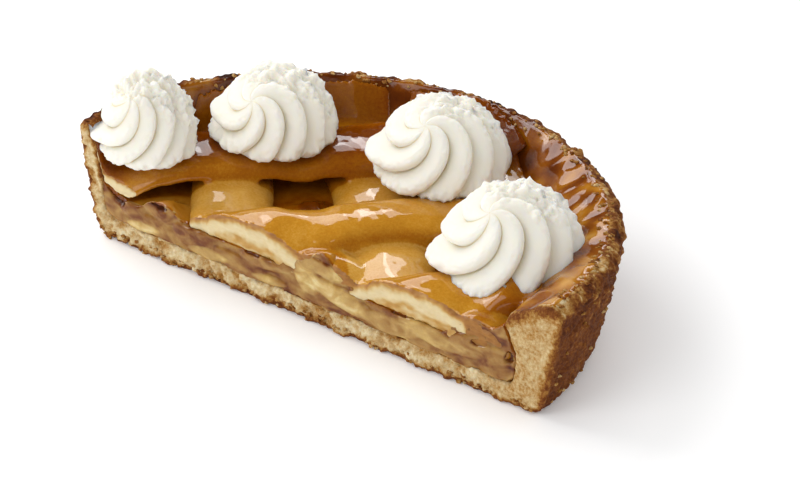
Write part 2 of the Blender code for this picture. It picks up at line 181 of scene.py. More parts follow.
def roundPlace(x, y):
    return math.hypot(x, y - pie["cutY"]), math.atan2(y - pie["cutY"], x)


def innerRadius(angle):
    return pie["innerRadius"] - pie["innerSwing"] * math.cos(angle)


def broad(angle):
    return smooth(*pie["broadFrom"], math.cos(angle))


def shoulder(angle):
    share = broad(angle)
    return innerRadius(angle) - pie["overhang"] * share, mix(pie["shoulderZ"], pie["broadShoulderZ"], share)


def crestZ(angle):
    c, s = math.cos(angle), math.sin(angle)
    return pie["crestZ"] + pie["crestRise"] * c * c + pie["crestWave"] * rough(c, s, 0, pie["waveLength"])


def caseZ(radius, angle):
    start, low = shoulder(angle)
    share = min(1.0, max(0.0, (radius - start) / (pie["crestRadius"] - start)))
    return low + (crestZ(angle) - low) * share ** (1 - pie["broadArch"] * broad(angle))


def floorWave(x, y):  # of the crust's floor against the filling, where the knife shows it
    near = smooth(20 * mm, 2 * mm, y - pie["cutY"])
    return near * (1.7 * mm * rough(x, y, 0, 13 * mm, 2.0) + 0.8 * mm * rough(x, y, 0, 5 * mm, 7.0))


def wallOutside(z):
    share = max(0.0, z) / (pie["crestZ"] - pie["rimDrop"])
    return pie["footRadius"] + (pie["rimRadius"] - pie["footRadius"]) * share**0.85


# the lattice; u and v run along the upper and the lower strips, in millimetres where a strip is described


lattice = {
    "turn": math.radians(38.2),
    "bedZ": 20.5 * mm,
    "bedLift": 15 * mm,
    "broadBedLift": 25 * mm,
    "underT": 8.0 * mm,
    "overT": 7.2 * mm,
    "edge": 1.2 * mm,
    "flatness": 2.3,  # of a strip's section on top
    "roundness": 0.55,  # of its shoulders
    "wave": 0.5 * mm,
    "overBed": 0.5 * mm,
    "overUnder": 0.9 * mm,
    "sag": 0.16,  # of an upper strip just beside a lower one
    "sagWithin": 9 * mm,
    "bridged": (10 * mm, 30 * mm),  # how far beside a lower strip an upper one comes down to the bed
    "end": 112.2 * mm,
    "broadEnd": 96.5 * mm,
    "taper": 15 * mm,
    "thinning": 0.62,
    "voxel": 0.85 * mm,
    "rounds": 7,
    "cells": (90, 24),
    "probes": 300,
    "pulled": 3.4 * mm,
    "pullReach": (15 * mm, 0.5 * mm),
    "pullFrom": (-98 * mm, -70 * mm),
    "sink": 0.7 * mm,  # into what each strip lies on, so that they bake together
    "poolSunk": 2 * mm,
    "pools": [  # dough and glaze that ran together between the front strips; middle, half sizes and top
        dict(x=4, y=-56, long=23, wide=13, turn=10, top=31.0),
        dict(x=79, y=-55, long=17, wide=13, turn=20, top=32.5),
    ],
    "under": [
        dict(centre=-32.6, at=35.0, slope=0.0, shift=(0, 0, 1), half=16.5),
        dict(centre=24.5, at=55.0, slope=-0.11, shift=(-5.5, 55, 105), half=17.3),
        dict(centre=66.0, at=60.0, slope=-0.28, shift=(0, 0, 1), half=16.5),
    ],
    "over": [
        dict(centre=78.0, at=0.0, slope=0.06, shift=(0, 0, 1), half=17.0, hangs=True),
        dict(centre=19.5, at=0.0, slope=0.0, shift=(7, -2, 38), half=14.3, hangs=False),
        dict(centre=-30.0, at=40.0, slope=0.0, shift=(0, 0, 1), half=14.6, hangs=False),
    ],
}


def planUv(x, y):
    c, s = math.cos(lattice["turn"]), math.sin(lattice["turn"])
    return x * c + (y - pie["cutY"]) * s, -x * s + (y - pie["cutY"]) * c


def planXy(u, v):
    c, s = math.cos(lattice["turn"]), math.sin(lattice["turn"])
    return u * c - v * s, u * s + v * c + pie["cutY"]


def bedZ(x, y):
    radius, angle = roundPlace(x, y)
    start, low = shoulder(angle)
    if radius > start:
        return caseZ(radius, angle)
    share = max(0.0, 1 - (start - radius) / mix(lattice["bedLift"], lattice["broadBedLift"], broad(angle)))
    return mix(lattice["bedZ"], low, share**1.8)


def stripCentre(strip, along):
    by, begin, end = strip["shift"]
    line = strip["centre"] + strip["slope"] * (along / mm - strip["at"])
    return (line + by * smooth(begin, end, along / mm)) * mm


def stripHalf(strip, along):
    return strip["half"] * mm + 1.0 * mm * rough(along, strip["centre"] * mm, 0, 31 * mm, 3.0)


def stripReach(angle):
    return mix(lattice["end"], lattice["broadEnd"], broad(angle))


def bridge(u, v):  # how far a place is lifted by the lower strips beside it
    best = 0.0
    for strip in lattice["under"]:
        beside = max(0.0, abs(u - stripCentre(strip, v)) - stripHalf(strip, v))
        near = 1 - lattice["sag"] * smooth(0, lattice["sagWithin"], beside)
        best = max(best, near * (1 - smooth(*lattice["bridged"], beside)))
    return best


def dome(side):
    return max(0.0, 1 - abs(side) ** lattice["flatness"]) ** lattice["roundness"]


def nearEnd(x, y):
    radius, angle = roundPlace(x, y)
    reach = stripReach(angle)
    return smooth(reach - lattice["taper"], reach, radius)


def endFade(x, y):  # share of its height that a strip loses at its end; on the broad rim it sinks in wholly
    return mix(lattice["thinning"], 1.0, broad(roundPlace(x, y)[1]))


def stripBottom(x, y, over):
    end = nearEnd(x, y)
    level = bedZ(x, y) + lattice["overBed"] * (1 - end)
    if over:
        lift = lattice["underT"] * (1 - endFade(x, y) * end) + lattice["overUnder"] * (1 - end)
        level += bridge(*planUv(x, y)) * lift
    return level


def pressed(x, y, over):  # how far the knife pulled the upper strips down as it went through
    near = smooth(*lattice["pullReach"], y - pie["cutY"])
    return lattice["pulled"] * near * smooth(*lattice["pullFrom"], x) if over else 0.0


def stripTop(x, y, side, over):
    u, v = planUv(x, y)
    end = nearEnd(x, y)
    thick = (lattice["overT"] if over else lattice["underT"]) * (1 - endFade(x, y) * end)
    thick += lattice["wave"] * rough(u, v, 0, 17 * mm, 7.0 if over else 1.0) * (1 - end)
    edge = lattice["edge"] * (1 - 0.5 * end)
    return stripBottom(x, y, over) + edge + (thick - edge) * dome(side) - pressed(x, y, over)


def stripsHere(x, y):  # height and side of each strip that covers this place, lower ones first
    u, v = planUv(x, y)
    radius, angle = roundPlace(x, y)
    found = []
    if radius < stripReach(angle) + 0.5 * mm:
        for strips, along, offset, over in ((lattice["under"], v, u, False), (lattice["over"], u, v, True)):
            for strip in strips:
                side = (offset - stripCentre(strip, along)) / stripHalf(strip, along)
                if abs(side) < 1.02:
                    found.append((stripTop(x, y, min(1.0, max(-1.0, side)), over), side))
    return found


def topZ(x, y):
    level = max(bedZ(x, y), fillingZ(x, y))
    return max([level] + [z for z, _ in stripsHere(x, y)])


# the filling; lengths in millimetres, tone from 0, dark syrup, to 1, pale apple


filling = {
    "voxel": 1.0 * mm,
    "belowBed": 0.6 * mm,
    "wave": 0.4 * mm,
    "belowPool": 3.2 * mm,
    "fillsUp": 0.8 * mm,  # in the openings
    "bare": (1 * mm, 7 * mm),  # how far from a strip an opening begins to show its filling
    "besideCase": 0.1 * mm,
    "inOpenings": [
        dict(u=-60, v=51, long=20, wide=12, turn=12, high=4.6, tone=0.7),
        dict(u=-9, v=41, long=9, wide=7, turn=20, high=4.0, tone=0.5),
        dict(u=2, v=52, long=9, wide=7, turn=-20, high=2.4, tone=0.2),
        dict(u=3, v=1, long=12, wide=9, turn=30, high=5.0, tone=0.7),
        dict(u=89, v=50, long=9, wide=7, turn=80, high=3.2, tone=0.35),
        dict(u=62, v=-50, long=9, wide=7, turn=10, high=2.6, tone=0.6),
    ],
    "atCut": [
        dict(x=-93, z=19, long=9, high=5.5, tip=-30, out=1.6, tone=0.38),
        dict(x=-78, z=14, long=13, high=4.5, tip=-6, out=1.3, tone=0.34),
        dict(x=-86, z=12, long=9, high=2.4, tip=4, out=1.4, tone=0.88),
        dict(x=-78, z=21, long=8, high=3.0, tip=-16, out=0.9, tone=0.22),
        dict(x=-60, z=18, long=12, high=6.0, tip=12, out=1.8, tone=0.28),
        dict(x=-38, z=13, long=17, high=4.2, tip=-4, out=1.4, tone=0.42),
        dict(x=-53, z=12, long=11, high=2.8, tip=4, out=1.5, tone=0.86),
        dict(x=-24, z=19, long=13, high=3.6, tip=5, out=1.6, tone=0.42),
        dict(x=-22, z=11.6, long=9, high=2.2, tip=3, out=1.4, tone=0.84),
        dict(x=-3, z=20, long=8, high=6.5, tip=-60, out=1.6, tone=0.84),
        dict(x=6, z=26, long=12, high=3.4, tip=-10, out=1.2, tone=0.78),
        dict(x=14, z=17, long=17, high=5.0, tip=-12, out=2.2, tone=0.90),
        dict(x=38, z=14, long=15, high=4.6, tip=4, out=1.4, tone=0.70),
        dict(x=34, z=20, long=9, high=2.6, tip=-4, out=0.8, tone=0.34),
        dict(x=57, z=17, long=16, high=4.4, tip=-8, out=1.7, tone=0.74),
        dict(x=76, z=19, long=11, high=5.6, tip=14, out=2.0, tone=0.56),
        dict(x=88, z=15, long=9, high=6.5, tip=60, out=1.2, tone=0.44),
    ],
    "hollows": [  # small caves in the cut, sunk in and painted dark as shade
        dict(x=-100, z=22, long=6, high=3.2, tip=-40, deep=3.0),
        dict(x=-79, z=24.5, long=5, high=1.6, tip=-12, deep=2.0),
        dict(x=-31, z=20.4, long=4.5, high=1.0, tip=-4, deep=1.6),
        dict(x=41, z=21.5, long=5.5, high=2.0, tip=-6, deep=3.2),
        dict(x=81, z=22.5, long=4, high=1.5, tip=10, deep=2.2),
        dict(x=95, z=21, long=3, high=2.2, tip=70, deep=2.6),
    ],
}


def lump(dx, dy, long, wide, turn):  # height of a half ellipsoid, 1 in its middle; dx and dy from there
    c, s = math.cos(math.radians(turn)), math.sin(math.radians(turn))
    p, q = (dx * c + dy * s) / long, (-dx * s + dy * c) / wide
    return math.sqrt(max(0.0, 1 - p * p - q * q))


def wedgeAt(u, v, piece):
    return lump(u / mm - piece["u"], v / mm - piece["v"], piece["long"], piece["wide"], piece["turn"])


def covered(u, v):  # 1 under the strips to 0 in the openings
    most = 0.0
    for strips, along, offset in ((lattice["under"], v, u), (lattice["over"], u, v)):
        for strip in strips:
            beside = abs(offset - stripCentre(strip, along)) - stripHalf(strip, along)
            most = max(most, 1 - smooth(*filling["bare"], beside))
    return most


def fillingZ(x, y):
    u, v = planUv(x, y)
    level = bedZ(x, y) - filling["belowBed"] + filling["wave"] * rough(x, y, 0, 22 * mm, 5.0)
    for pool in lattice["pools"]:
        swell = lump(x / mm - pool["x"], y / mm - pool["y"], pool["long"] - 2, pool["wide"] - 2, pool["turn"])
        high = pool["top"] * mm - lattice["bedZ"] - filling["belowPool"]
        level = max(level, lattice["bedZ"] + high * swell)
    rise = 0.0
    for piece in filling["inOpenings"]:
        rise = max(rise, piece["high"] * mm * wedgeAt(u, v, piece))
    return level + (rise + filling["fillsUp"]) * (1 - covered(u, v))


# materials


def linear(text):  # sRGB hex to the linear colour that a shader takes
    parts = [int(text[k:k + 2], 16) / 255 for k in (1, 3, 5)]
    return tuple(p / 12.92 if p <= 0.04045 else ((p + 0.055) / 1.055) ** 2.4 for p in parts) + (1.0,)


def setNode(tree, node, values=None, links=None):
    for key, value in (values or {}).items():
        node.inputs[key].default_value = value
    for key, socket in (links or {}).items():
        tree.links.new(socket, node.inputs[key])


def addNode(tree, kind, values=None, links=None, stops=None, **settings):
    node = tree.nodes.new("ShaderNode" + kind)
    for key, value in settings.items():
        setattr(node, key, value)
    setNode(tree, node, values, links)
    for place, (at, colour) in enumerate(stops or []):
        ramp = node.color_ramp.elements
        spot = ramp[place] if place < 2 else ramp.new(at)
        spot.position = at
        spot.color = linear(colour)
    return node


def varied(tree, tone, pattern, amount):  # the tone, shifted by how far a pattern is from 0.5
    scaled = addNode(tree, "Math", {1: amount, 2: -amount / 2}, {0: pattern}, operation="MULTIPLY_ADD")
    return addNode(tree, "Math", None, {0: scaled.outputs[0], 1: tone}, operation="ADD").outputs[0]


def newLook(name):
    look = bpy.data.materials.new(name)
    look.use_nodes = True
    tree = look.node_tree
    return look, tree, tree.nodes["Principled BSDF"], addNode(tree, "TexCoord").outputs["Object"]


def perMm(size):  # a pattern's scale for cells of this many millimetres
    return 1 / (size * mm)


def bumps(size, detail, harshness):  # size in millimetres
    return {"Scale": perMm(size), "Detail": detail, "Roughness": harshness}


def softness(share, reach, size):  # light that goes in and comes out again a few millimetres further on
    return {"Subsurface Weight": share, "Subsurface Radius": reach, "Subsurface Scale": size * mm}


def bakedShortcrust():  # dry browned crumb: matt and grainy, with darker toasted grains
    look, tree, shader, place = newLook("bakedShortcrust")
    bakeAndShade = addNode(tree, "Attribute", attribute_name="bakeAndShade").outputs["Fac"]
    patches = addNode(tree, "TexNoise", bumps(9, 6, 0.65), {"Vector": place})
    grain = addNode(tree, "TexNoise", bumps(1.5, 5, 0.75), {"Vector": place})
    crumb = addNode(tree, "TexVoronoi", {"Scale": perMm(1.6), "Randomness": 1}, {"Vector": place})
    tone = varied(tree, bakeAndShade, patches.outputs["Fac"], 0.34)
    tone = varied(tree, tone, grain.outputs["Fac"], 0.9)
    pale = [(0, "#EADBB4"), (0.25, "#D2B684"), (0.45, "#B0803E")]
    toasted = [(0.62, "#81491A"), (0.8, "#5C2C0E"), (1, "#381604")]
    colour = addNode(tree, "ValToRGB", None, {"Fac": tone}, pale + toasted).outputs["Color"]
    heights = {0: grain.outputs["Fac"], 1: crumb.outputs["Distance"]}
    relief = addNode(tree, "Math", None, heights, operation="SUBTRACT").outputs[0]
    bump = addNode(tree, "Bump", {"Strength": 0.8, "Distance": 0.6 * mm}, {"Height": relief})
    gloss = {"Roughness": 0.8, "Specular IOR Level": 0.15}
    soft = softness(0.12, (1.0, 0.6, 0.3), 1.2)
    setNode(tree, shader, gloss | soft, {"Base Color": colour, "Normal": bump.outputs["Normal"]})
    return look


def glazedDough():  # rolled dough baked golden under clear set glaze: a wet gloss over fine speckle
    look, tree, shader, place = newLook("glazedDough")
    bakeAndShade = addNode(tree, "Attribute", attribute_name="bakeAndShade").outputs["Fac"]
    patches = addNode(tree, "TexNoise", bumps(14, 5, 0.6), {"Vector": place})
    speckle = addNode(tree, "TexNoise", bumps(1.1, 3, 0.75), {"Vector": place})
    tone = varied(tree, bakeAndShade, patches.outputs["Fac"], 0.30)
    tone = varied(tree, tone, speckle.outputs["Fac"], 0.34)
    golden = [(0, "#D6A44E"), (0.2, "#C08524"), (0.4, "#A4620C")]
    brown = [(0.6, "#854304"), (0.8, "#652900"), (1, "#431600")]
    colour = addNode(tree, "ValToRGB", None, {"Fac": tone}, golden + brown).outputs["Color"]
    bump = addNode(tree, "Bump", {"Strength": 0.12, "Distance": 0.3 * mm}, {"Height": speckle.outputs["Fac"]})
    gloss = {"Roughness": 0.42, "Specular IOR Level": 0}
    glaze = {"Coat Weight": 1.0, "Coat Roughness": 0.04, "Coat IOR": 1.47}
    soft = softness(0.1, (1.0, 0.6, 0.25), 2)
    setNode(tree, shader, gloss | glaze | soft, {"Base Color": colour, "Normal": bump.outputs["Normal"]})
    return look


def cutDough():  # the same dough where it was cut: pale, short and flaky, golden only under its skin
    look, tree, shader, place = newLook("cutDough")
    skin = addNode(tree, "Attribute", attribute_name="skin").outputs["Fac"]
    flat = addNode(tree, "Mapping", {"Scale": (1, 1, 3)}, {"Vector": place}).outputs[0]
    layers = addNode(tree, "TexNoise", bumps(5, 6, 0.7), {"Vector": flat})
    tone = addNode(tree, "Math", {1: 0.42, 2: -0.2}, {0: layers.outputs["Fac"]}, operation="MULTIPLY_ADD")
    tone = addNode(tree, "Math", None, {0: tone.outputs[0], 1: skin}, operation="ADD").outputs[0]
    stops = [(0, "#E2D0A4"), (0.3, "#D4BA84"), (0.55, "#C4984C"), (0.8, "#A97228"), (1, "#844C12")]
    colour = addNode(tree, "ValToRGB", None, {"Fac": tone}, stops).outputs["Color"]
    bump = addNode(tree, "Bump", {"Strength": 0.4, "Distance": 0.4 * mm}, {"Height": layers.outputs["Fac"]})
    soft = softness(0.25, (1.0, 0.7, 0.4), 2)
    setNode(tree, shader, {"Roughness": 0.6} | soft, {"Base Color": colour, "Normal": bump.outputs["Normal"]})
    return look


def cookedApple():  # soft cooked apple in syrup: moist, lit from within, streaked from pale to dark brown
    look, tree, shader, place = newLook("cookedApple")
    given = addNode(tree, "Attribute", attribute_name="tone").outputs["Fac"]
    laid = {"Scale": (1, 1, 1.7), "Rotation": (0, 0.12, 0)}
    flat = addNode(tree, "Mapping", laid, {"Vector": place}).outputs[0]
    streaks = addNode(tree, "TexNoise", bumps(9, 2.5, 0.45) | {"Distortion": 0.8}, {"Vector": flat})
    grain = addNode(tree, "TexNoise", bumps(1.2, 3, 0.7), {"Vector": place})
    tone = varied(tree, given, streaks.outputs["Fac"], 1.0)
    tone = varied(tree, tone, grain.outputs["Fac"], 0.2)
    syrupy = [(0, "#4A1E08"), (0.2, "#743F18"), (0.4, "#966A34")]
    pale = [(0.6, "#AC864A"), (0.8, "#C5A462"), (1, "#DDC890")]
    colour = addNode(tree, "ValToRGB", None, {"Fac": tone}, syrupy + pale).outputs["Color"]
    bump = addNode(tree, "Bump", {"Strength": 0.15, "Distance": 0.5 * mm}, {"Height": grain.outputs["Fac"]})
    gloss = {"Roughness": 0.5, "Specular IOR Level": 0, "Coat Weight": 0.6, "Coat Roughness": 0.12}
    soft = softness(0.5, (1.0, 0.65, 0.3), 3)
    setNode(tree, shader, gloss | soft, {"Base Color": colour, "Normal": bump.outputs["Normal"]})
    return look


def appleSyrup():  # set amber syrup over the filling in the openings: deep, clear and wet
    look, tree, shader, place = newLook("appleSyrup")
    given = addNode(tree, "Attribute", attribute_name="tone").outputs["Fac"]
    cloud = addNode(tree, "TexNoise", bumps(6, 5, 0.6), {"Vector": place})
    tone = varied(tree, given, cloud.outputs["Fac"], 0.5)
    stops = [(0, "#4E1C00"), (0.3, "#7E3D02"), (0.6, "#AC6A10"), (1, "#D09A38")]
    colour = addNode(tree, "ValToRGB", None, {"Fac": tone}, stops).outputs["Color"]
    gloss = {"Roughness": 0.3, "Specular IOR Level": 0, "Coat Weight": 1.0, "Coat Roughness": 0.04}
    soft = softness(0.2, (1.0, 0.5, 0.15), 3)
    setNode(tree, shader, gloss | soft, {"Base Color": colour})
    return look


def glazedRimSkin():  # the broad rim, browned most and brushed with glaze: dark and glossy like lacquer
    look, tree, shader, place = newLook("glazedRimSkin")
    bakeAndShade = addNode(tree, "Attribute", attribute_name="bakeAndShade").outputs["Fac"]
    patches = addNode(tree, "TexNoise", bumps(8, 6, 0.65), {"Vector": place})
    speckle = addNode(tree, "TexNoise", bumps(1.2, 3, 0.75), {"Vector": place})
    tone = varied(tree, bakeAndShade, patches.outputs["Fac"], 0.5)
    stops = [(0, "#D3A050"), (0.3, "#AE7018"), (0.5, "#8A4A08"), (0.7, "#6A3002"), (1, "#3A1200")]
    colour = addNode(tree, "ValToRGB", None, {"Fac": tone}, stops).outputs["Color"]
    bump = addNode(tree, "Bump", {"Strength": 0.2, "Distance": 0.4 * mm}, {"Height": speckle.outputs["Fac"]})
    gloss = {"Roughness": 0.4, "Specular IOR Level": 0}
    glaze = {"Coat Weight": 1.0, "Coat Roughness": 0.07, "Coat IOR": 1.47}
    setNode(tree, shader, gloss | glaze, {"Base Color": colour, "Normal": bump.outputs["Normal"]})
    return look


def whippedCream():  # whipped cream: soft white, with painted yellowish shade in its folds, and a fine broken surface
    look, tree, shader, place = newLook("whippedCream")
    torn = addNode(tree, "Attribute", attribute_name="torn").outputs["Fac"]
    fine = addNode(tree, "TexNoise", bumps(1.0, 4, 0.7), {"Vector": place})
    broken = addNode(tree, "TexVoronoi", {"Scale": perMm(1.4)}, {"Vector": place})
    height = addNode(tree, "Math", None, {0: broken.outputs["Distance"], 1: torn}, operation="MULTIPLY")
    both = {0: fine.outputs["Fac"], 2: height.outputs[0]}
    height = addNode(tree, "Math", {1: 0.35}, both, operation="MULTIPLY_ADD")
    bump = addNode(tree, "Bump", {"Strength": 0.35, "Distance": 0.4 * mm}, {"Height": height.outputs[0]})
    # painted shade: the creases between the ribbons are tinted darker and yellower
    creaseShade = addNode(tree, "Attribute", attribute_name="creaseShade").outputs["Fac"]
    stops = [(0, "#F1EEE4"), (0.6, "#EEEADB"), (1, "#E4D5AC")]
    colour = addNode(tree, "ValToRGB", None, {"Fac": creaseShade}, stops).outputs["Color"]
    gloss = {"Roughness": 0.5, "Specular IOR Level": 0.3}
    soft = softness(0.7, (1.0, 0.85, 0.6), 4)
    setNode(tree, shader, gloss | soft, {"Base Color": colour, "Normal": bump.outputs["Normal"]})
    return look


def paleTable():  # plain white board: even and matt
    look, tree, shader, _ = newLook("paleTable")
    gloss = {"Roughness": 0.9, "Specular IOR Level": 0}
    glow = {"Emission Color": linear("#FFFFFF"), "Emission Strength": 0.12}
    setNode(tree, shader, {"Base Color": linear("#FAFAFA")} | gloss | glow)
    return look


looks = {
    "crust": bakedShortcrust(),
    "rim": glazedRimSkin(),
    "dough": glazedDough(),
    "cut": cutDough(),
    "apple": cookedApple(),
    "syrup": appleSyrup(),
    "cream": whippedCream(),
}
print("materials made")


# case of browned shortcrust


case = {
    "voxel": 1.02 * mm,
    "turns": 150,
    "step": 2.5 * mm,
    "fineFrom": (78 * mm, 100 * mm),  # the broad wall has a finer, more even crumb
    "wallCrumbs": 0.7 * mm,
    "wallWave": 0.8 * mm,
    "cracks": 2.2 * mm,
    "rimCrags": 1.9 * mm,
    "cutCrumbs": 1.7 * mm,
    "chips": 2.4 * mm,  # what has crumbled off the lower edge at the cut
    "rimFolds": 1.7 * mm,
    "glazedTo": math.radians(168),  # the rest of the rim stayed dry
    "skin": 3.4 * mm,  # depth to which the outside is browned
}


def stepped(points, step):  # adds points so that none is further than a step from the next
    out = [points[0]]
    for (r0, z0), (r1, z1) in zip(points, points[1:]):
        count = max(1, math.ceil(math.hypot(r1 - r0, z1 - z0) / step))
        out += [(mix(r0, r1, k / count), mix(z0, z1, k / count)) for k in range(1, count + 1)]
    return out


def caseProfile():
    inner, crest, low = pie["innerRadius"], pie["crestRadius"], pie["floorZ"]
    floorLine = [(0, low), (inner - 6 * mm, low)]
    corner = [(inner - 2.5 * mm, low + 1 * mm), (inner - 0.4 * mm, low + 5 * mm), (inner, pie["wallTop"])]
    slope = [(inner, pie["shoulderZ"]), (crest, pie["crestZ"])]
    edgeZ = pie["crestZ"] - pie["rimDrop"] + 1 * mm
    rim = [(crest + 3.4 * mm, pie["crestZ"] - 0.6 * mm), (pie["rimRadius"] - 0.8 * mm, edgeZ)]
    wall = [(wallOutside(z * mm), z * mm) for z in (42, 36, 30, 24, 18, 12, 6.5)]
    foot = pie["footRadius"]
    base = [(foot + 0.2 * mm, 2.6 * mm), (foot - 2.4 * mm, 0.5 * mm), (foot - 5.5 * mm, 0), (0, 0)]
    return stepped(floorLine + corner + slope + rim + wall + base, case["step"])


def shapeCase(vert):
    x, y, z = vert.co
    radius, angle = roundPlace(x, y)
    if radius < 1e-6:
        return
    inside = radius < min(pie["crestRadius"] - 0.2 * mm, wallOutside(z) - 2.5 * mm)
    newRadius, newZ = radius, z
    if inside and z > pie["shoulderZ"] - 1 * mm:
        start, _ = shoulder(angle)
        share = (radius - pie["innerRadius"]) / (pie["crestRadius"] - pie["innerRadius"])
        newRadius = mix(start, pie["crestRadius"], share)
        newZ = caseZ(newRadius, angle)
    elif inside and z > pie["floorZ"] - 1 * mm:
        if radius > pie["innerRadius"] - 4 * mm:
            newRadius = radius + innerRadius(angle) - pie["innerRadius"]
        newZ = z + floorWave(x, y) * smooth(pie["floorZ"] + 4 * mm, pie["floorZ"], z)
    elif not inside and z > 0.1 * mm:
        newZ = z * (1 + (crestZ(angle) / pie["crestZ"] - 1) * smooth(20 * mm, pie["crestZ"], z))
        newRadius += case["wallWave"] * rough(x, y, z, 38 * mm, 4.0)
    scale = newRadius / radius
    vert.co = (x * scale, pie["cutY"] + (y - pie["cutY"]) * scale, newZ)


def turnedHalf(profile, turns, shape):
    bm = bmesh.new()
    points = [bm.verts.new((r, 0, z)) for r, z in profile]
    line = [bm.edges.new(pair) for pair in zip(points, points[1:])]
    bmesh.ops.spin(
        bm, geom=points + line, cent=(0, 0, 0), axis=(0, 0, 1), angle=2 * math.pi, steps=turns, use_merge=True
    )
    bmesh.ops.remove_doubles(bm, verts=bm.verts, dist=0.02 * mm)
    bmesh.ops.translate(bm, verts=bm.verts, vec=(0, pie["cutY"], 0))
    for vert in bm.verts:
        shape(vert)
    faceOut(bm)
    cutThrough(bm, pie["cutY"])
    return bm


def caseRelief(co, radius, angle, atCut):  # outward shift, and browning with painted shade in the hollows of the cut crumb, or None on the inside of the rim
    x, y, z = co
    depth = wallOutside(z) - radius
    if atCut > 0:
        fine = smooth(*case["fineFrom"], x)
        size = mix(2.6 * mm, 1.8 * mm, fine)
        crumb = 0.5 * pebbles(x, y, z * 1.3, size, 9.0) + 0.5 * rough(x, y, z, 1.7 * mm, 5.0)
        hill = 1.1 * rough(x, y, z * 1.3, 7 * mm, 8.0) + 0.6 * rough(x, y, z, 3.2 * mm, 1.0)
        shift = case["cutCrumbs"] * mix(1.0, 0.4, fine) * (crumb + hill - 0.2)
        ragged = rough(x, y, 0, 9 * mm, 1.0) + 0.8 * rough(x, y, z, 3 * mm, 7.0)
        under = smooth(3.8 * mm + 2.0 * mm * ragged, 1.0 * mm, z)
        ragged = 1.2 * mm * rough(0, y, z, 5 * mm, 4.0)
        upper = smooth(8 * mm, 0.5 * mm, caseZ(radius, angle) - z)
        skin = max(smooth(case["skin"] + 1 * mm + ragged, 0.4 * mm, depth), under, upper)
        grain = 0.5 + 0.6 * rough(x, y, z, 4.5 * mm, 3.0) + 0.4 * rough(x, y, z, 1.6 * mm, 3.0)
        # painted shade: the cut crumb is darker where its relief is sunk, in the hollows of the hill noise
        pale = 0.02 + 0.2 * fine + mix(0.28, 0.16, fine) * grain + 0.2 * (1 - fine) * smooth(0.1, -0.6, hill)
        return shift * atCut, mix(pale + 0.04, 0.66, min(1.0, skin * (0.75 + 0.45 * grain)))
    if z < 0.4 * mm:
        return 0.0, 0.8
    if depth < 3 * mm and z < pie["crestZ"] - 1 * mm:
        cracks = max(0.0, ridged(x, y, z * 1.6, 13 * mm, 2.0) - 0.72)
        crumb = 1.6 * pebbles(x, y, z, 4.2 * mm, 2.0) - 0.6 + rough(x, y, z, 2.2 * mm, 4.0)
        shift = case["wallCrumbs"] * crumb - case["cracks"] * cracks
        craggy = smooth(26 * mm, 44 * mm, z)
        shift += case["rimCrags"] * craggy * (pebbles(x, y, z, 5.5 * mm, 6.0) - 0.35)
        gold = 0.22 * smooth(0.35, 0.75, pebbles(x, y, z, 5.5 * mm, 6.0)) * craggy
        return shift * smooth(0.3 * mm, 3 * mm, z), 0.72 + 0.12 * rough(x, y, z, 16 * mm, 1.0) - gold
    return None


def makeCase():
    bm = evenMesh(turnedHalf(caseProfile(), case["turns"], shapeCase), case["voxel"], 1)
    finerCut(bm, knife["inCrumb"])
    bakeAndShadeLayer = bm.verts.layers.float.new("bakeAndShade")
    glossy = set()
    moves = []
    for vert in bm.verts:
        x, y, z = vert.co
        radius, angle = roundPlace(x, y)
        start, _ = shoulder(angle)
        found = caseRelief(vert.co, radius, angle, onCut(vert, knife["inCrumb"]))
        if found is None:
            share = broad(angle)
            upper = smooth(start - 2 * mm, start + 3 * mm, radius) * smooth(0.05, 0.4, vert.normal.z)
            edge = smooth(pie["crestRadius"] - 2 * mm, pie["crestRadius"] + 3 * mm, radius)
            arc = angle * pie["crestRadius"]
            folds = 0.9 * rough(arc, 1.3 * radius, 0, 17 * mm, 4.0)
            folds = (folds + 0.4 * ridged(arc, radius, 0, 12 * mm, 9.0)) * (share * (1 - edge))
            shift = upper * (case["rimFolds"] * folds + 0.15 * mm * rough(x, y, z, 6 * mm, 2.0))
            shift += edge * case["rimCrags"] * (pebbles(x, y, z, 4.6 * mm, 6.0) - 0.4)
            bakeAndShade = mix(0.62, 0.48, share) + 0.45 * rough(x, y, z, 9 * mm, 3.0)
            bakeAndShade -= 0.12 * smooth(0.1, 0.6, folds)
            bakeAndShade += edge * (0.2 - 0.3 * smooth(0.4, 0.8, pebbles(x, y, z, 3.6 * mm, 6.0)))
            if upper > 0.3 and edge < 0.75 and angle < case["glazedTo"]:
                glossy.add(vert)
        else:
            shift, bakeAndShade = found
        vert[bakeAndShadeLayer] = bakeAndShade
        moves.append((vert, vert.normal * shift))
    for vert, move in moves:
        x, y, z = vert.co
        near = smooth(2.6 * mm, 0.4 * mm, y - pie["cutY"]) * smooth(5 * mm, 0.5 * mm, z)
        chip = max(0.0, rough(x, 0, 0, 4.2 * mm, 3.0) + 0.5 * rough(x, 0, 0, 1.9 * mm, 6.0) + 0.1)
        vert.co = Vector((x, y, z + case["chips"] * near * chip)) + move
        vert.co.z = max(0.0, vert.co.z)
    for face in bm.faces:
        face.material_index = 1 if all(v in glossy for v in face.verts) else 0
    piece = newPiece(bm, "baked_case", [looks["crust"], looks["rim"]])
    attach(piece, "root")
    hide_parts("crust_case")
    print("case made:", len(piece.data.polygons), "faces")
    return piece


bakedCase = makeCase()


def fillingProfile():
    outer, low = pie["innerRadius"] - filling["besideCase"], pie["floorZ"]
    top = [(0, lattice["bedZ"]), (outer, lattice["bedZ"])]
    side = [(outer, pie["wallTop"] - 1 * mm), (outer - 0.4 * mm, low + 5 * mm)]
    base = [(outer - 2.8 * mm, low + 1.6 * mm), (outer - 8 * mm, low + 0.1 * mm), (0, low + 0.1 * mm)]
    return stepped(top + side + base, case["step"])


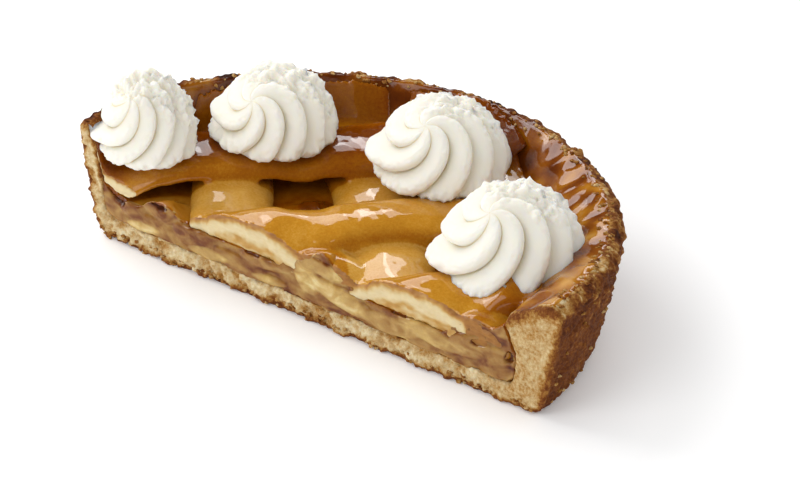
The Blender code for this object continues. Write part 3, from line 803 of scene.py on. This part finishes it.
def shapeFilling(vert):
    x, y, z = vert.co
    radius, angle = roundPlace(x, y)
    outer = pie["innerRadius"] - filling["besideCase"]
    upper = abs(z - lattice["bedZ"]) < 0.1 * mm
    wall = (shoulder(angle)[0] if upper else innerRadius(angle)) - filling["besideCase"]
    shift = (wall - outer) * smooth(outer - 26 * mm, outer - 3 * mm, radius)
    scale = (radius + shift) / radius if radius > 1e-6 else 1
    x, y = x * scale, pie["cutY"] + (y - pie["cutY"]) * scale
    deep = smooth(pie["floorZ"] + 4 * mm, pie["floorZ"], z)
    vert.co = (x, y, fillingZ(x, y) if upper else z + (floorWave(x, y) - 0.3 * mm) * deep)


def cutFilling(x, z):  # relief and tone of the filling where the knife went through it
    out, tone = 0.0, 0.36 + 0.3 * rough(x, 0, z * 2.2, 9 * mm, 4.0) + 0.15 * rough(x, 0, z * 2, 3.5 * mm, 8.0)
    for piece in filling["atCut"]:
        bulge = lump(x / mm - piece["x"], z / mm - piece["z"], piece["long"], piece["high"], piece["tip"])
        if bulge * piece["out"] > out:
            out = bulge * piece["out"]
        tone = mix(tone, piece["tone"], 0.85 * smooth(0.0, 0.95, bulge))
    shift = 0.75 * out * mm - 0.4 * mm
    for hole in filling["hollows"]:
        sunk = lump(x / mm - hole["x"], z / mm - hole["z"], hole["long"], hole["high"], hole["tip"])
        shift -= hole["deep"] * mm * sunk
        # painted shade: each cave is given the darkest syrup tone
        tone = mix(tone, 0.05, smooth(0.05, 0.6, sunk))
    return shift, tone


def makeFilling():
    bm = evenMesh(turnedHalf(fillingProfile(), case["turns"], shapeFilling), filling["voxel"], 1)
    finerCut(bm, knife["inCrumb"])
    toneLayer = bm.verts.layers.float.new("tone")
    moves = []
    for vert in bm.verts:
        x, y, z = vert.co
        u, v = planUv(x, y)
        atCut = onCut(vert, knife["inCrumb"])
        if atCut > 0:
            shift, tone = cutFilling(x, z)
            shift += 0.3 * mm * rough(x, 0, z * 1.8, 4 * mm, 6.0) + 0.1 * mm * rough(x, 0, z, 1.8 * mm, 1.0)
            shift *= atCut
        else:
            shift, tone = 0.3 * mm * rough(x, y, z, 5 * mm, 2.0), 0.4
            for piece in filling["inOpenings"]:
                tone = mix(tone, piece["tone"], smooth(0.1, 0.6, wedgeAt(u, v, piece)))
        vert[toneLayer] = tone
        moves.append((vert, vert.normal * shift))
    for vert, move in moves:
        vert.co += move
    for face in bm.faces:
        syrupy = face.normal.z > 0.25 and face.calc_center_median().y > pie["cutY"] + mm
        face.material_index = 1 if syrupy else 0
    piece = newPiece(bm, "cooked_filling", [looks["apple"], looks["syrup"]])
    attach(piece, "root")
    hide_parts("apple_filling")
    print("filling made:", len(piece.data.polygons), "faces")


makeFilling()


# glazed lattice, baked into one sheet


def stripPlace(strip, along, side, over):
    offset = stripCentre(strip, along) + side * stripHalf(strip, along)
    return planXy(along, offset) if over else planXy(offset, along)


def stripSpan(strip, side, over):
    inside = []
    probes = lattice["probes"]
    for step in range(-probes, probes + 1):
        along = lattice["end"] * step / probes
        x, y = stripPlace(strip, along, side, over)
        radius, angle = roundPlace(x, y)
        if y > pie["cutY"] - 4 * mm and radius < stripReach(angle):
            inside.append(along)
    return inside[0], inside[-1]


def addStrip(bm, strip, over):
    cellsAlong, cellsAcross = lattice["cells"]
    sheet = bmesh.ops.create_grid(bm, x_segments=cellsAlong, y_segments=cellsAcross, size=1)
    solid = bmesh.ops.extrude_face_region(bm, geom=list({f for v in sheet["verts"] for f in v.link_faces}))
    raised = {v for v in solid["geom"] if isinstance(v, bmesh.types.BMVert)}
    spans = {}
    for vert in set(sheet["verts"]) | raised:
        line = round(vert.co.y, 4)
        side = math.sin(line * math.pi / 2)
        if line not in spans:
            spans[line] = stripSpan(strip, side, over)
        start, end = spans[line]
        x, y = stripPlace(strip, mix(start, end, (vert.co.x + 1) / 2), side, over)
        if vert in raised:
            z = stripTop(x, y, side, over)
        else:
            z = stripBottom(x, y, over and strip["hangs"]) - lattice["sink"]
        vert.co = (x, y, z)


def makePool(pool):  # a low cushion from below the bed up to the pool's top, cut by the knife
    low = lattice["bedZ"] - lattice["poolSunk"]
    one = bmesh.new()
    bmesh.ops.create_uvsphere(one, u_segments=40, v_segments=20, radius=1)
    size = Vector((pool["long"], pool["wide"], 1)) * mm
    size.z = pool["top"] * mm - low
    bmesh.ops.scale(one, vec=size, verts=one.verts)
    bmesh.ops.rotate(one, matrix=Matrix.Rotation(math.radians(pool["turn"]), 3, "Z"), verts=one.verts)
    bmesh.ops.translate(one, vec=(pool["x"] * mm, pool["y"] * mm, low), verts=one.verts)
    for vert in one.verts:
        vert.co.z = max(vert.co.z, low)
    cutThrough(one, pie["cutY"])
    return one


def makeLattice():
    bm = bmesh.new()
    for pool in lattice["pools"]:
        addTo(bm, makePool(pool))
    for strips, over in ((lattice["under"], False), (lattice["over"], True)):
        for strip in strips:
            one = bmesh.new()
            addStrip(one, strip, over)
            faceOut(one)
            cutThrough(one, pie["cutY"])
            addTo(bm, one)
    bm = evenMesh(bm, lattice["voxel"], lattice["rounds"])
    finerCut(bm, knife["inStrips"])
    bakeAndShadeLayer = bm.verts.layers.float.new("bakeAndShade")
    skinLayer = bm.verts.layers.float.new("skin")
    moves = []
    pale = set()
    for vert in bm.verts:
        x, y, z = vert.co
        u, v = planUv(x, y)
        radius, angle = roundPlace(x, y)
        atCut = onCut(vert, knife["inStrips"])
        here = stripsHere(x, max(y, pie["cutY"] + 1.5 * mm))
        top = max([level for level, side in here], default=z)
        side = max([abs(s) for level, s in here if level > top - 1.5 * mm], default=1)
        # how far below the top strip a place lies: its sides and undersides, made paler further on as painted
        # light
        below = smooth(1.5 * mm, 6 * mm, top - z)
        # the back strip, where the rosettes stand, is browner from baking and darkened further as painted
        # shade of the rosettes
        back = smooth(54 * mm, 74 * mm, v) * (1 - 0.5 * smooth(88 * mm, 96 * mm, v))
        # painted light: the lower strips are made paler against the shade that the upper strips cast over them
        lower = smooth(5 * mm, 8 * mm, stripTop(x, y, 0, True) - top)
        bakeAndShade = 0.21 + 0.46 * back + 0.06 * smooth(84 * mm, 110 * mm, radius)
        bakeAndShade += 0.2 * broad(angle) * smooth(72 * mm, 92 * mm, radius) - 0.12 * lower
        # painted shade darkens the edges of the topmost strip; painted light makes the sides and undersides
        # paler
        bakeAndShade += 0.12 * smooth(0.75, 1.0, side) * (1 - lower) - 0.06 * below
        bakeAndShade += 0.08 * rough(u, v, 0, 20 * mm, 3.0)
        if atCut > 0:
            layered = 0.8 * rough(x, 0, z * 2.5, 6 * mm, 4.0) + 0.5 * pebbles(x, y, z, 2.4 * mm, 3.0) - 0.3
            shift = mm * layered * atCut
            deep = top - z + 1.3 * mm * rough(x, 0, z, 7 * mm, 2.0) + 0.7 * mm * rough(x, 0, z, 1.8 * mm, 5.0)
            golden = mix(2.2 * mm, 5.0 * mm, smooth(-70 * mm, -50 * mm, x))  # less in the thin strip
            soaked = smooth(6.2 * mm, 9.4 * mm, deep) * (0.4 + 0.4 * rough(x, 0, z * 2, 5 * mm, 9.0))
            vert[skinLayer] = 0.05 + 0.8 * smooth(golden, 0.2 * mm, deep) + soaked if here else 0.85
        else:
            shift = 0.22 * mm * rough(u, v, z, 6 * mm, 5.0) + 0.25 * mm * rough(u * 0.5, v, z, 11 * mm, 8.0)
            vert[skinLayer] = 0.8
        if atCut > 0.5:
            pale.add(vert)
        vert[bakeAndShadeLayer] = bakeAndShade
        moves.append((vert, vert.normal * shift))
    for vert, move in moves:
        vert.co += move
    for face in bm.faces:
        face.material_index = 1 if all(v in pale for v in face.verts) else 0
    piece = newPiece(bm, "glazed_lattice", [looks["dough"], looks["cut"]])
    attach(piece, "root")
    under = ("strip_under_1", "strip_under_2", "strip_under_3")
    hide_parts(*under, "strip_over_1", "strip_over_2", "strip_over_3")
    print("lattice made:", len(piece.data.polygons), "faces")


makeLattice()


# piped cream; x and y from the middle of the round pie, in millimetres


cream = {
    "arms": 6,
    "around": 216,
    "down": 130,
    "sweep": math.radians(200),
    "pull": 0.06,
    "side": math.radians(-125),
    "left": Vector((-0.776, -0.611, 0.16)),
    "prow": 3.2 * mm,
    "away": Vector((-0.03, 0.56, 0.83)),  # back and up, where the nozzle tore the cream
    "groove": 0.2,
    "sag": 7 * mm,
    "torn": 2.2 * mm,
    "fringe": 1.3 * mm,
    "skirt": 10 * mm,  # below this height over its seat the cream follows what it lies on
    "onRim": (104 * mm, 108 * mm),
    "sunkIn": (0.4, 1.9),  # mm, into the pie and into the crumbly rim
    "rosettes": {
        "cream_1": dict(x=-96.0, y=15.1, seat=41, across=39.6, high=31.2, lean=25, to=-82, turn=10, torn=0.35),
        "cream_2": dict(x=-62.7, y=54.6, seat=41, across=49.8, high=26.5, lean=40, to=-86, turn=25, torn=0.45),
        "cream_3": dict(x=3.5, y=76.5, seat=38.5, across=55.3, high=27.5, lean=30, to=-81, turn=0, torn=0.58),
        "cream_4": dict(x=67.2, y=38.3, seat=36, across=59.6, high=31, lean=27, to=-91, turn=15, torn=0.58),
    },
}


def ribbon(phase):  # height across one ribbon, 0 in the crease to 1 on its crest, steeper on one side
    t = 1 - phase / (2 * math.pi) % 1.0
    return math.sin(math.pi * t**0.5) ** 0.75


def windAbout(turn, wound):  # angle at which a ribbon lies; it winds less where it runs out to the left
    pull = cream["pull"]
    angle = turn - wound
    for _ in range(5):
        over = angle - cream["side"]
        angle -= (angle - turn + wound * (1 - pull * math.cos(over))) / (1 + wound * pull * math.sin(over))
    return angle


def creamPoint(tilt, turn, rosette):  # from the middle of the seat; tilt from the leaning tip, turn about it
    leanTo = math.radians(rosette["to"])
    lean = Matrix.Rotation(math.radians(rosette["lean"]), 3, Vector((-math.sin(leanTo), math.cos(leanTo), 0)))
    half, high = rosette["across"] / 2 * mm, rosette["high"] * mm
    share = tilt / (math.pi / 2)
    wound = cream["sweep"] * (0.5 * min(1.3, share) ** 0.7 + 0.5 * min(1.3, share) ** 1.3)
    angle = windAbout(turn + math.radians(rosette["turn"]), wound)
    way = lean @ Vector((math.sin(tilt) * math.cos(angle), math.sin(tilt) * math.sin(angle), math.cos(tilt)))
    tall = high if way.z > 0 else cream["sag"]
    reach = 1 / math.sqrt((way.x**2 + way.y**2) / half**2 + way.z**2 / tall**2)
    height = ribbon(cream["arms"] * turn)
    nearBase = smooth(0.3, -0.1, way.z)
    groove = cream["groove"] * smooth(0.02, 0.5, share) * (1 - 0.4 * nearBase)
    lead = smooth(0.9, 1.0, way.dot(cream["left"])) * height**4 * smooth(0.3, 0.7, share)
    return way * (reach * (1 - groove * (1 - height)) + cream["prow"] * lead), height, nearBase


def makeRosette(name, rosette):
    seat = Vector((rosette["x"] * mm, rosette["y"] * mm + pie["cutY"], rosette["seat"] * mm))
    bm = bmesh.new()
    bmesh.ops.create_uvsphere(bm, u_segments=cream["around"], v_segments=cream["down"], radius=1)
    tornLayer = bm.verts.layers.float.new("torn")
    creaseShadeLayer = bm.verts.layers.float.new("creaseShade")
    seed = rosette["across"]
    for vert in bm.verts:
        ring = math.acos(max(-1.0, min(1.0, vert.co.z))) / math.pi
        tilt = math.pi * (0.75 * ring if ring < 0.75 else 0.5625 + 1.75 * (ring - 0.75))
        spot, height, nearBase = creamPoint(tilt, math.atan2(vert.co.y, vert.co.x), rosette)
        outward = spot.normalized()
        p = seat + spot
        away = outward.dot(cream["away"]) + 0.2 * rough(p.x, p.y, p.z, 9 * mm, seed)
        wild = smooth(rosette["torn"], rosette["torn"] + 0.3, away)
        clots = pebbles(p.x, p.y, p.z, 3.4 * mm, seed) + 0.5 * pebbles(p.x, p.y, p.z, 1.9 * mm, seed + 2)
        clots += 0.5 * rough(p.x, p.y, p.z, 1.5 * mm, seed + 1)
        push = wild * cream["torn"] * (0.7 * rough(p.x, p.y, p.z, 5 * mm, seed) + clots - 0.45)
        push += nearBase * cream["fringe"] * rough(p.x, p.y, p.z * 0.5, 2.2 * mm, seed + 4)
        crest = smooth(0.85, 1.0, height) * (1 - wild)
        push += crest * 0.35 * mm * rough(p.x, p.y, p.z, 1.6 * mm, seed + 6)
        push += 0.12 * mm * rough(p.x, p.y, p.z, 3 * mm, seed + 9)
        vert.co = p + outward * push
        vert[tornLayer] = 0.15 + 0.85 * max(wild, 0.6 * nearBase)
        # painted shade in the creases, strongest where the ribbon is lowest
        vert[creaseShadeLayer] = (1 - height) ** 2
        if spot.z < cream["skirt"]:
            onRim = smooth(*cream["onRim"], roundPlace(vert.co.x, vert.co.y)[0])
            vert.co.z = max(vert.co.z, topZ(vert.co.x, vert.co.y) - mix(*cream["sunkIn"], onRim) * mm)
    faceOut(bm)
    piece = newPiece(bm, name.replace("_", "_rosette_"), [looks["cream"]])
    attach(piece, "root")
    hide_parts(name)


for rosetteName, rosetteShape in cream["rosettes"].items():
    makeRosette(rosetteName, rosetteShape)
print("cream piped")


# loose crumbs of the crust


crumbs = {
    "seed": 7,
    "onLowerEdge": 130,
    "onRim": 240,
    "onWall": 170,
    "size": (0.35 * mm, 0.9 * mm),
}


def crumbPlaces(draw):
    for _ in range(crumbs["onLowerEdge"]):
        x = draw.uniform(-108, 108) * mm
        yield Vector((x, pie["cutY"] - draw.uniform(-0.5, 1.2) * mm, draw.uniform(0.6, 4.5) * mm))
    for _ in range(crumbs["onRim"]):
        angle = draw.uniform(0.03, math.pi - 0.03)
        radius = draw.uniform(pie["crestRadius"] - 3 * mm, pie["crestRadius"] + 3.5 * mm)
        level = min(caseZ(radius, angle), crestZ(angle) - 0.2 * mm)
        yield Vector((radius * math.cos(angle), pie["cutY"] + radius * math.sin(angle), level))
    for _ in range(crumbs["onWall"]):
        angle, z = draw.uniform(0.03, math.pi - 0.03), pie["crestZ"] * draw.uniform(0.05, 0.9)
        radius = wallOutside(z) - 0.3 * mm
        yield Vector((radius * math.cos(angle), pie["cutY"] + radius * math.sin(angle), z))


def makeCrumbs():
    draw = random.Random(crumbs["seed"])
    mesh = bakedCase.data
    crust = BVHTree.FromPolygons([v.co for v in mesh.vertices], [f.vertices for f in mesh.polygons])
    bm = bmesh.new()
    bakeAndShadeLayer = bm.verts.layers.float.new("bakeAndShade")
    for near in crumbPlaces(draw):
        spot, normal, _, _ = crust.find_nearest(near)
        size = draw.uniform(*crumbs["size"])
        spot = spot + normal * 0.1 * size
        bakeAndShade = draw.uniform(0.3, 0.62)
        ball = bmesh.ops.create_icosphere(bm, subdivisions=2, radius=size)
        for vert in ball["verts"]:
            bump = 1 + 0.9 * rough(vert.co.x + spot.x, vert.co.y + spot.y, vert.co.z + spot.z, size, 3.0)
            vert.co = spot + Vector((vert.co.x * 1.2, vert.co.y, vert.co.z * 0.8)) * bump
            vert.co.z = max(vert.co.z, 0.0)
            vert[bakeAndShadeLayer] = bakeAndShade
    piece = newPiece(bm, "loose_crumbs", [looks["crust"]])
    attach(piece, "root")


makeCrumbs()
print("crumbs scattered")


# table, camera and lights


view = {
    "target": Vector((0, 0.4, 0.2)) * pie["rimRadius"] + Vector((0, pie["cutY"], 0)),
    "distance": 20 * pie["rimRadius"],
    "azimuth": math.radians(38.19),
    "elevation": math.radians(30.81),
    "pixelsPerRadius": 305.857,
    "centre": (389.670, 221.086),  # where the target falls in the 800 x 502 frame
    "frame": (800, 502),
    "sensor": 36,
    "table": 6,  # metres from its middle to its edge
    "belowPie": 0.02 * mm,
}


def makeTable():
    bm = bmesh.new()
    bmesh.ops.create_grid(bm, x_segments=8, y_segments=8, size=view["table"])
    bmesh.ops.translate(bm, verts=bm.verts, vec=(0, 0, cadLow.z - view["belowPie"]))
    table = newPiece(bm, "table_top", [paleTable()])


def makeCamera():
    az, el = view["azimuth"], view["elevation"]
    forward = Vector((-math.sin(az) * math.cos(el), math.cos(az) * math.cos(el), -math.sin(el)))
    wide, tall = view["frame"]
    camera = bpy.data.cameras.new("camera")
    camera.sensor_width = view["sensor"]
    camera.lens = view["pixelsPerRadius"] * view["distance"] / pie["rimRadius"] / wide * view["sensor"]
    camera.shift_x = (wide / 2 - view["centre"][0]) / wide
    camera.shift_y = -(tall / 2 - view["centre"][1]) / wide
    camera.clip_end = 100
    holder = bpy.data.objects.new("camera", camera)
    bpy.context.scene.collection.objects.link(holder)
    holder.location = view["target"] - forward * view["distance"]
    holder.rotation_euler = (-forward).to_track_quat("Z", "Y").to_euler()
    bpy.context.scene.camera = holder


sky = {"onShapes": 0.7, "inGloss": 0.06}  # dark walls beyond the lamps, for clear gloss

lights = {  # right, back and up as the camera sees them, in metres; size across and up; watts
    "window": dict(at=(-0.75, 0.60, 0.85), size=(0.85, 0.6), watts=6.5),
    "back": dict(at=(0.30, 1.15, 0.80), size=(0.8, 0.3), watts=3.2),
    "front": dict(at=(-1.0, -0.8, 1.0), size=(0.9, 0.9), watts=5.5),
    "glossBack": dict(at=(-0.25, 1.10, 0.95), size=(0.55, 0.5), watts=3.0, onlyGloss=True),
    "glossLeft": dict(at=(-1.20, 0.20, 0.70), size=(0.5, 0.8), watts=6.4, onlyGloss=True),
}


def makeLights():
    az = view["azimuth"]
    right, back = Vector((math.cos(az), math.sin(az), 0)), Vector((-math.sin(az), math.cos(az), 0))
    for name, given in lights.items():
        light = bpy.data.lights.new(name, "AREA")
        light.shape = "RECTANGLE"
        light.size, light.size_y = given["size"]
        light.energy = given["watts"]
        holder = bpy.data.objects.new(name, light)
        bpy.context.scene.collection.objects.link(holder)
        holder.visible_diffuse = not given.get("onlyGloss", False)
        r, b, up = given["at"]
        holder.location = right * r + back * b + Vector((0, 0, up))
        holder.rotation_euler = (holder.location - view["target"]).to_track_quat("Z", "Y").to_euler()
    world = bpy.data.worlds.new("studio")
    bpy.context.scene.world = world
    world.use_nodes = True
    tree = world.node_tree
    ray = addNode(tree, "LightPath").outputs["Is Glossy Ray"]
    ends = {"To Min": sky["onShapes"], "To Max": sky["inGloss"]}
    strength = addNode(tree, "MapRange", ends, {"Value": ray})
    white = {"Color": linear("#FFFFFF")}
    setNode(tree, tree.nodes["Background"], white, {"Strength": strength.outputs["Result"]})
    bpy.context.scene.view_settings.view_transform = "Standard"


makeTable()
makeCamera()
makeLights()
print("table, camera and lights set")
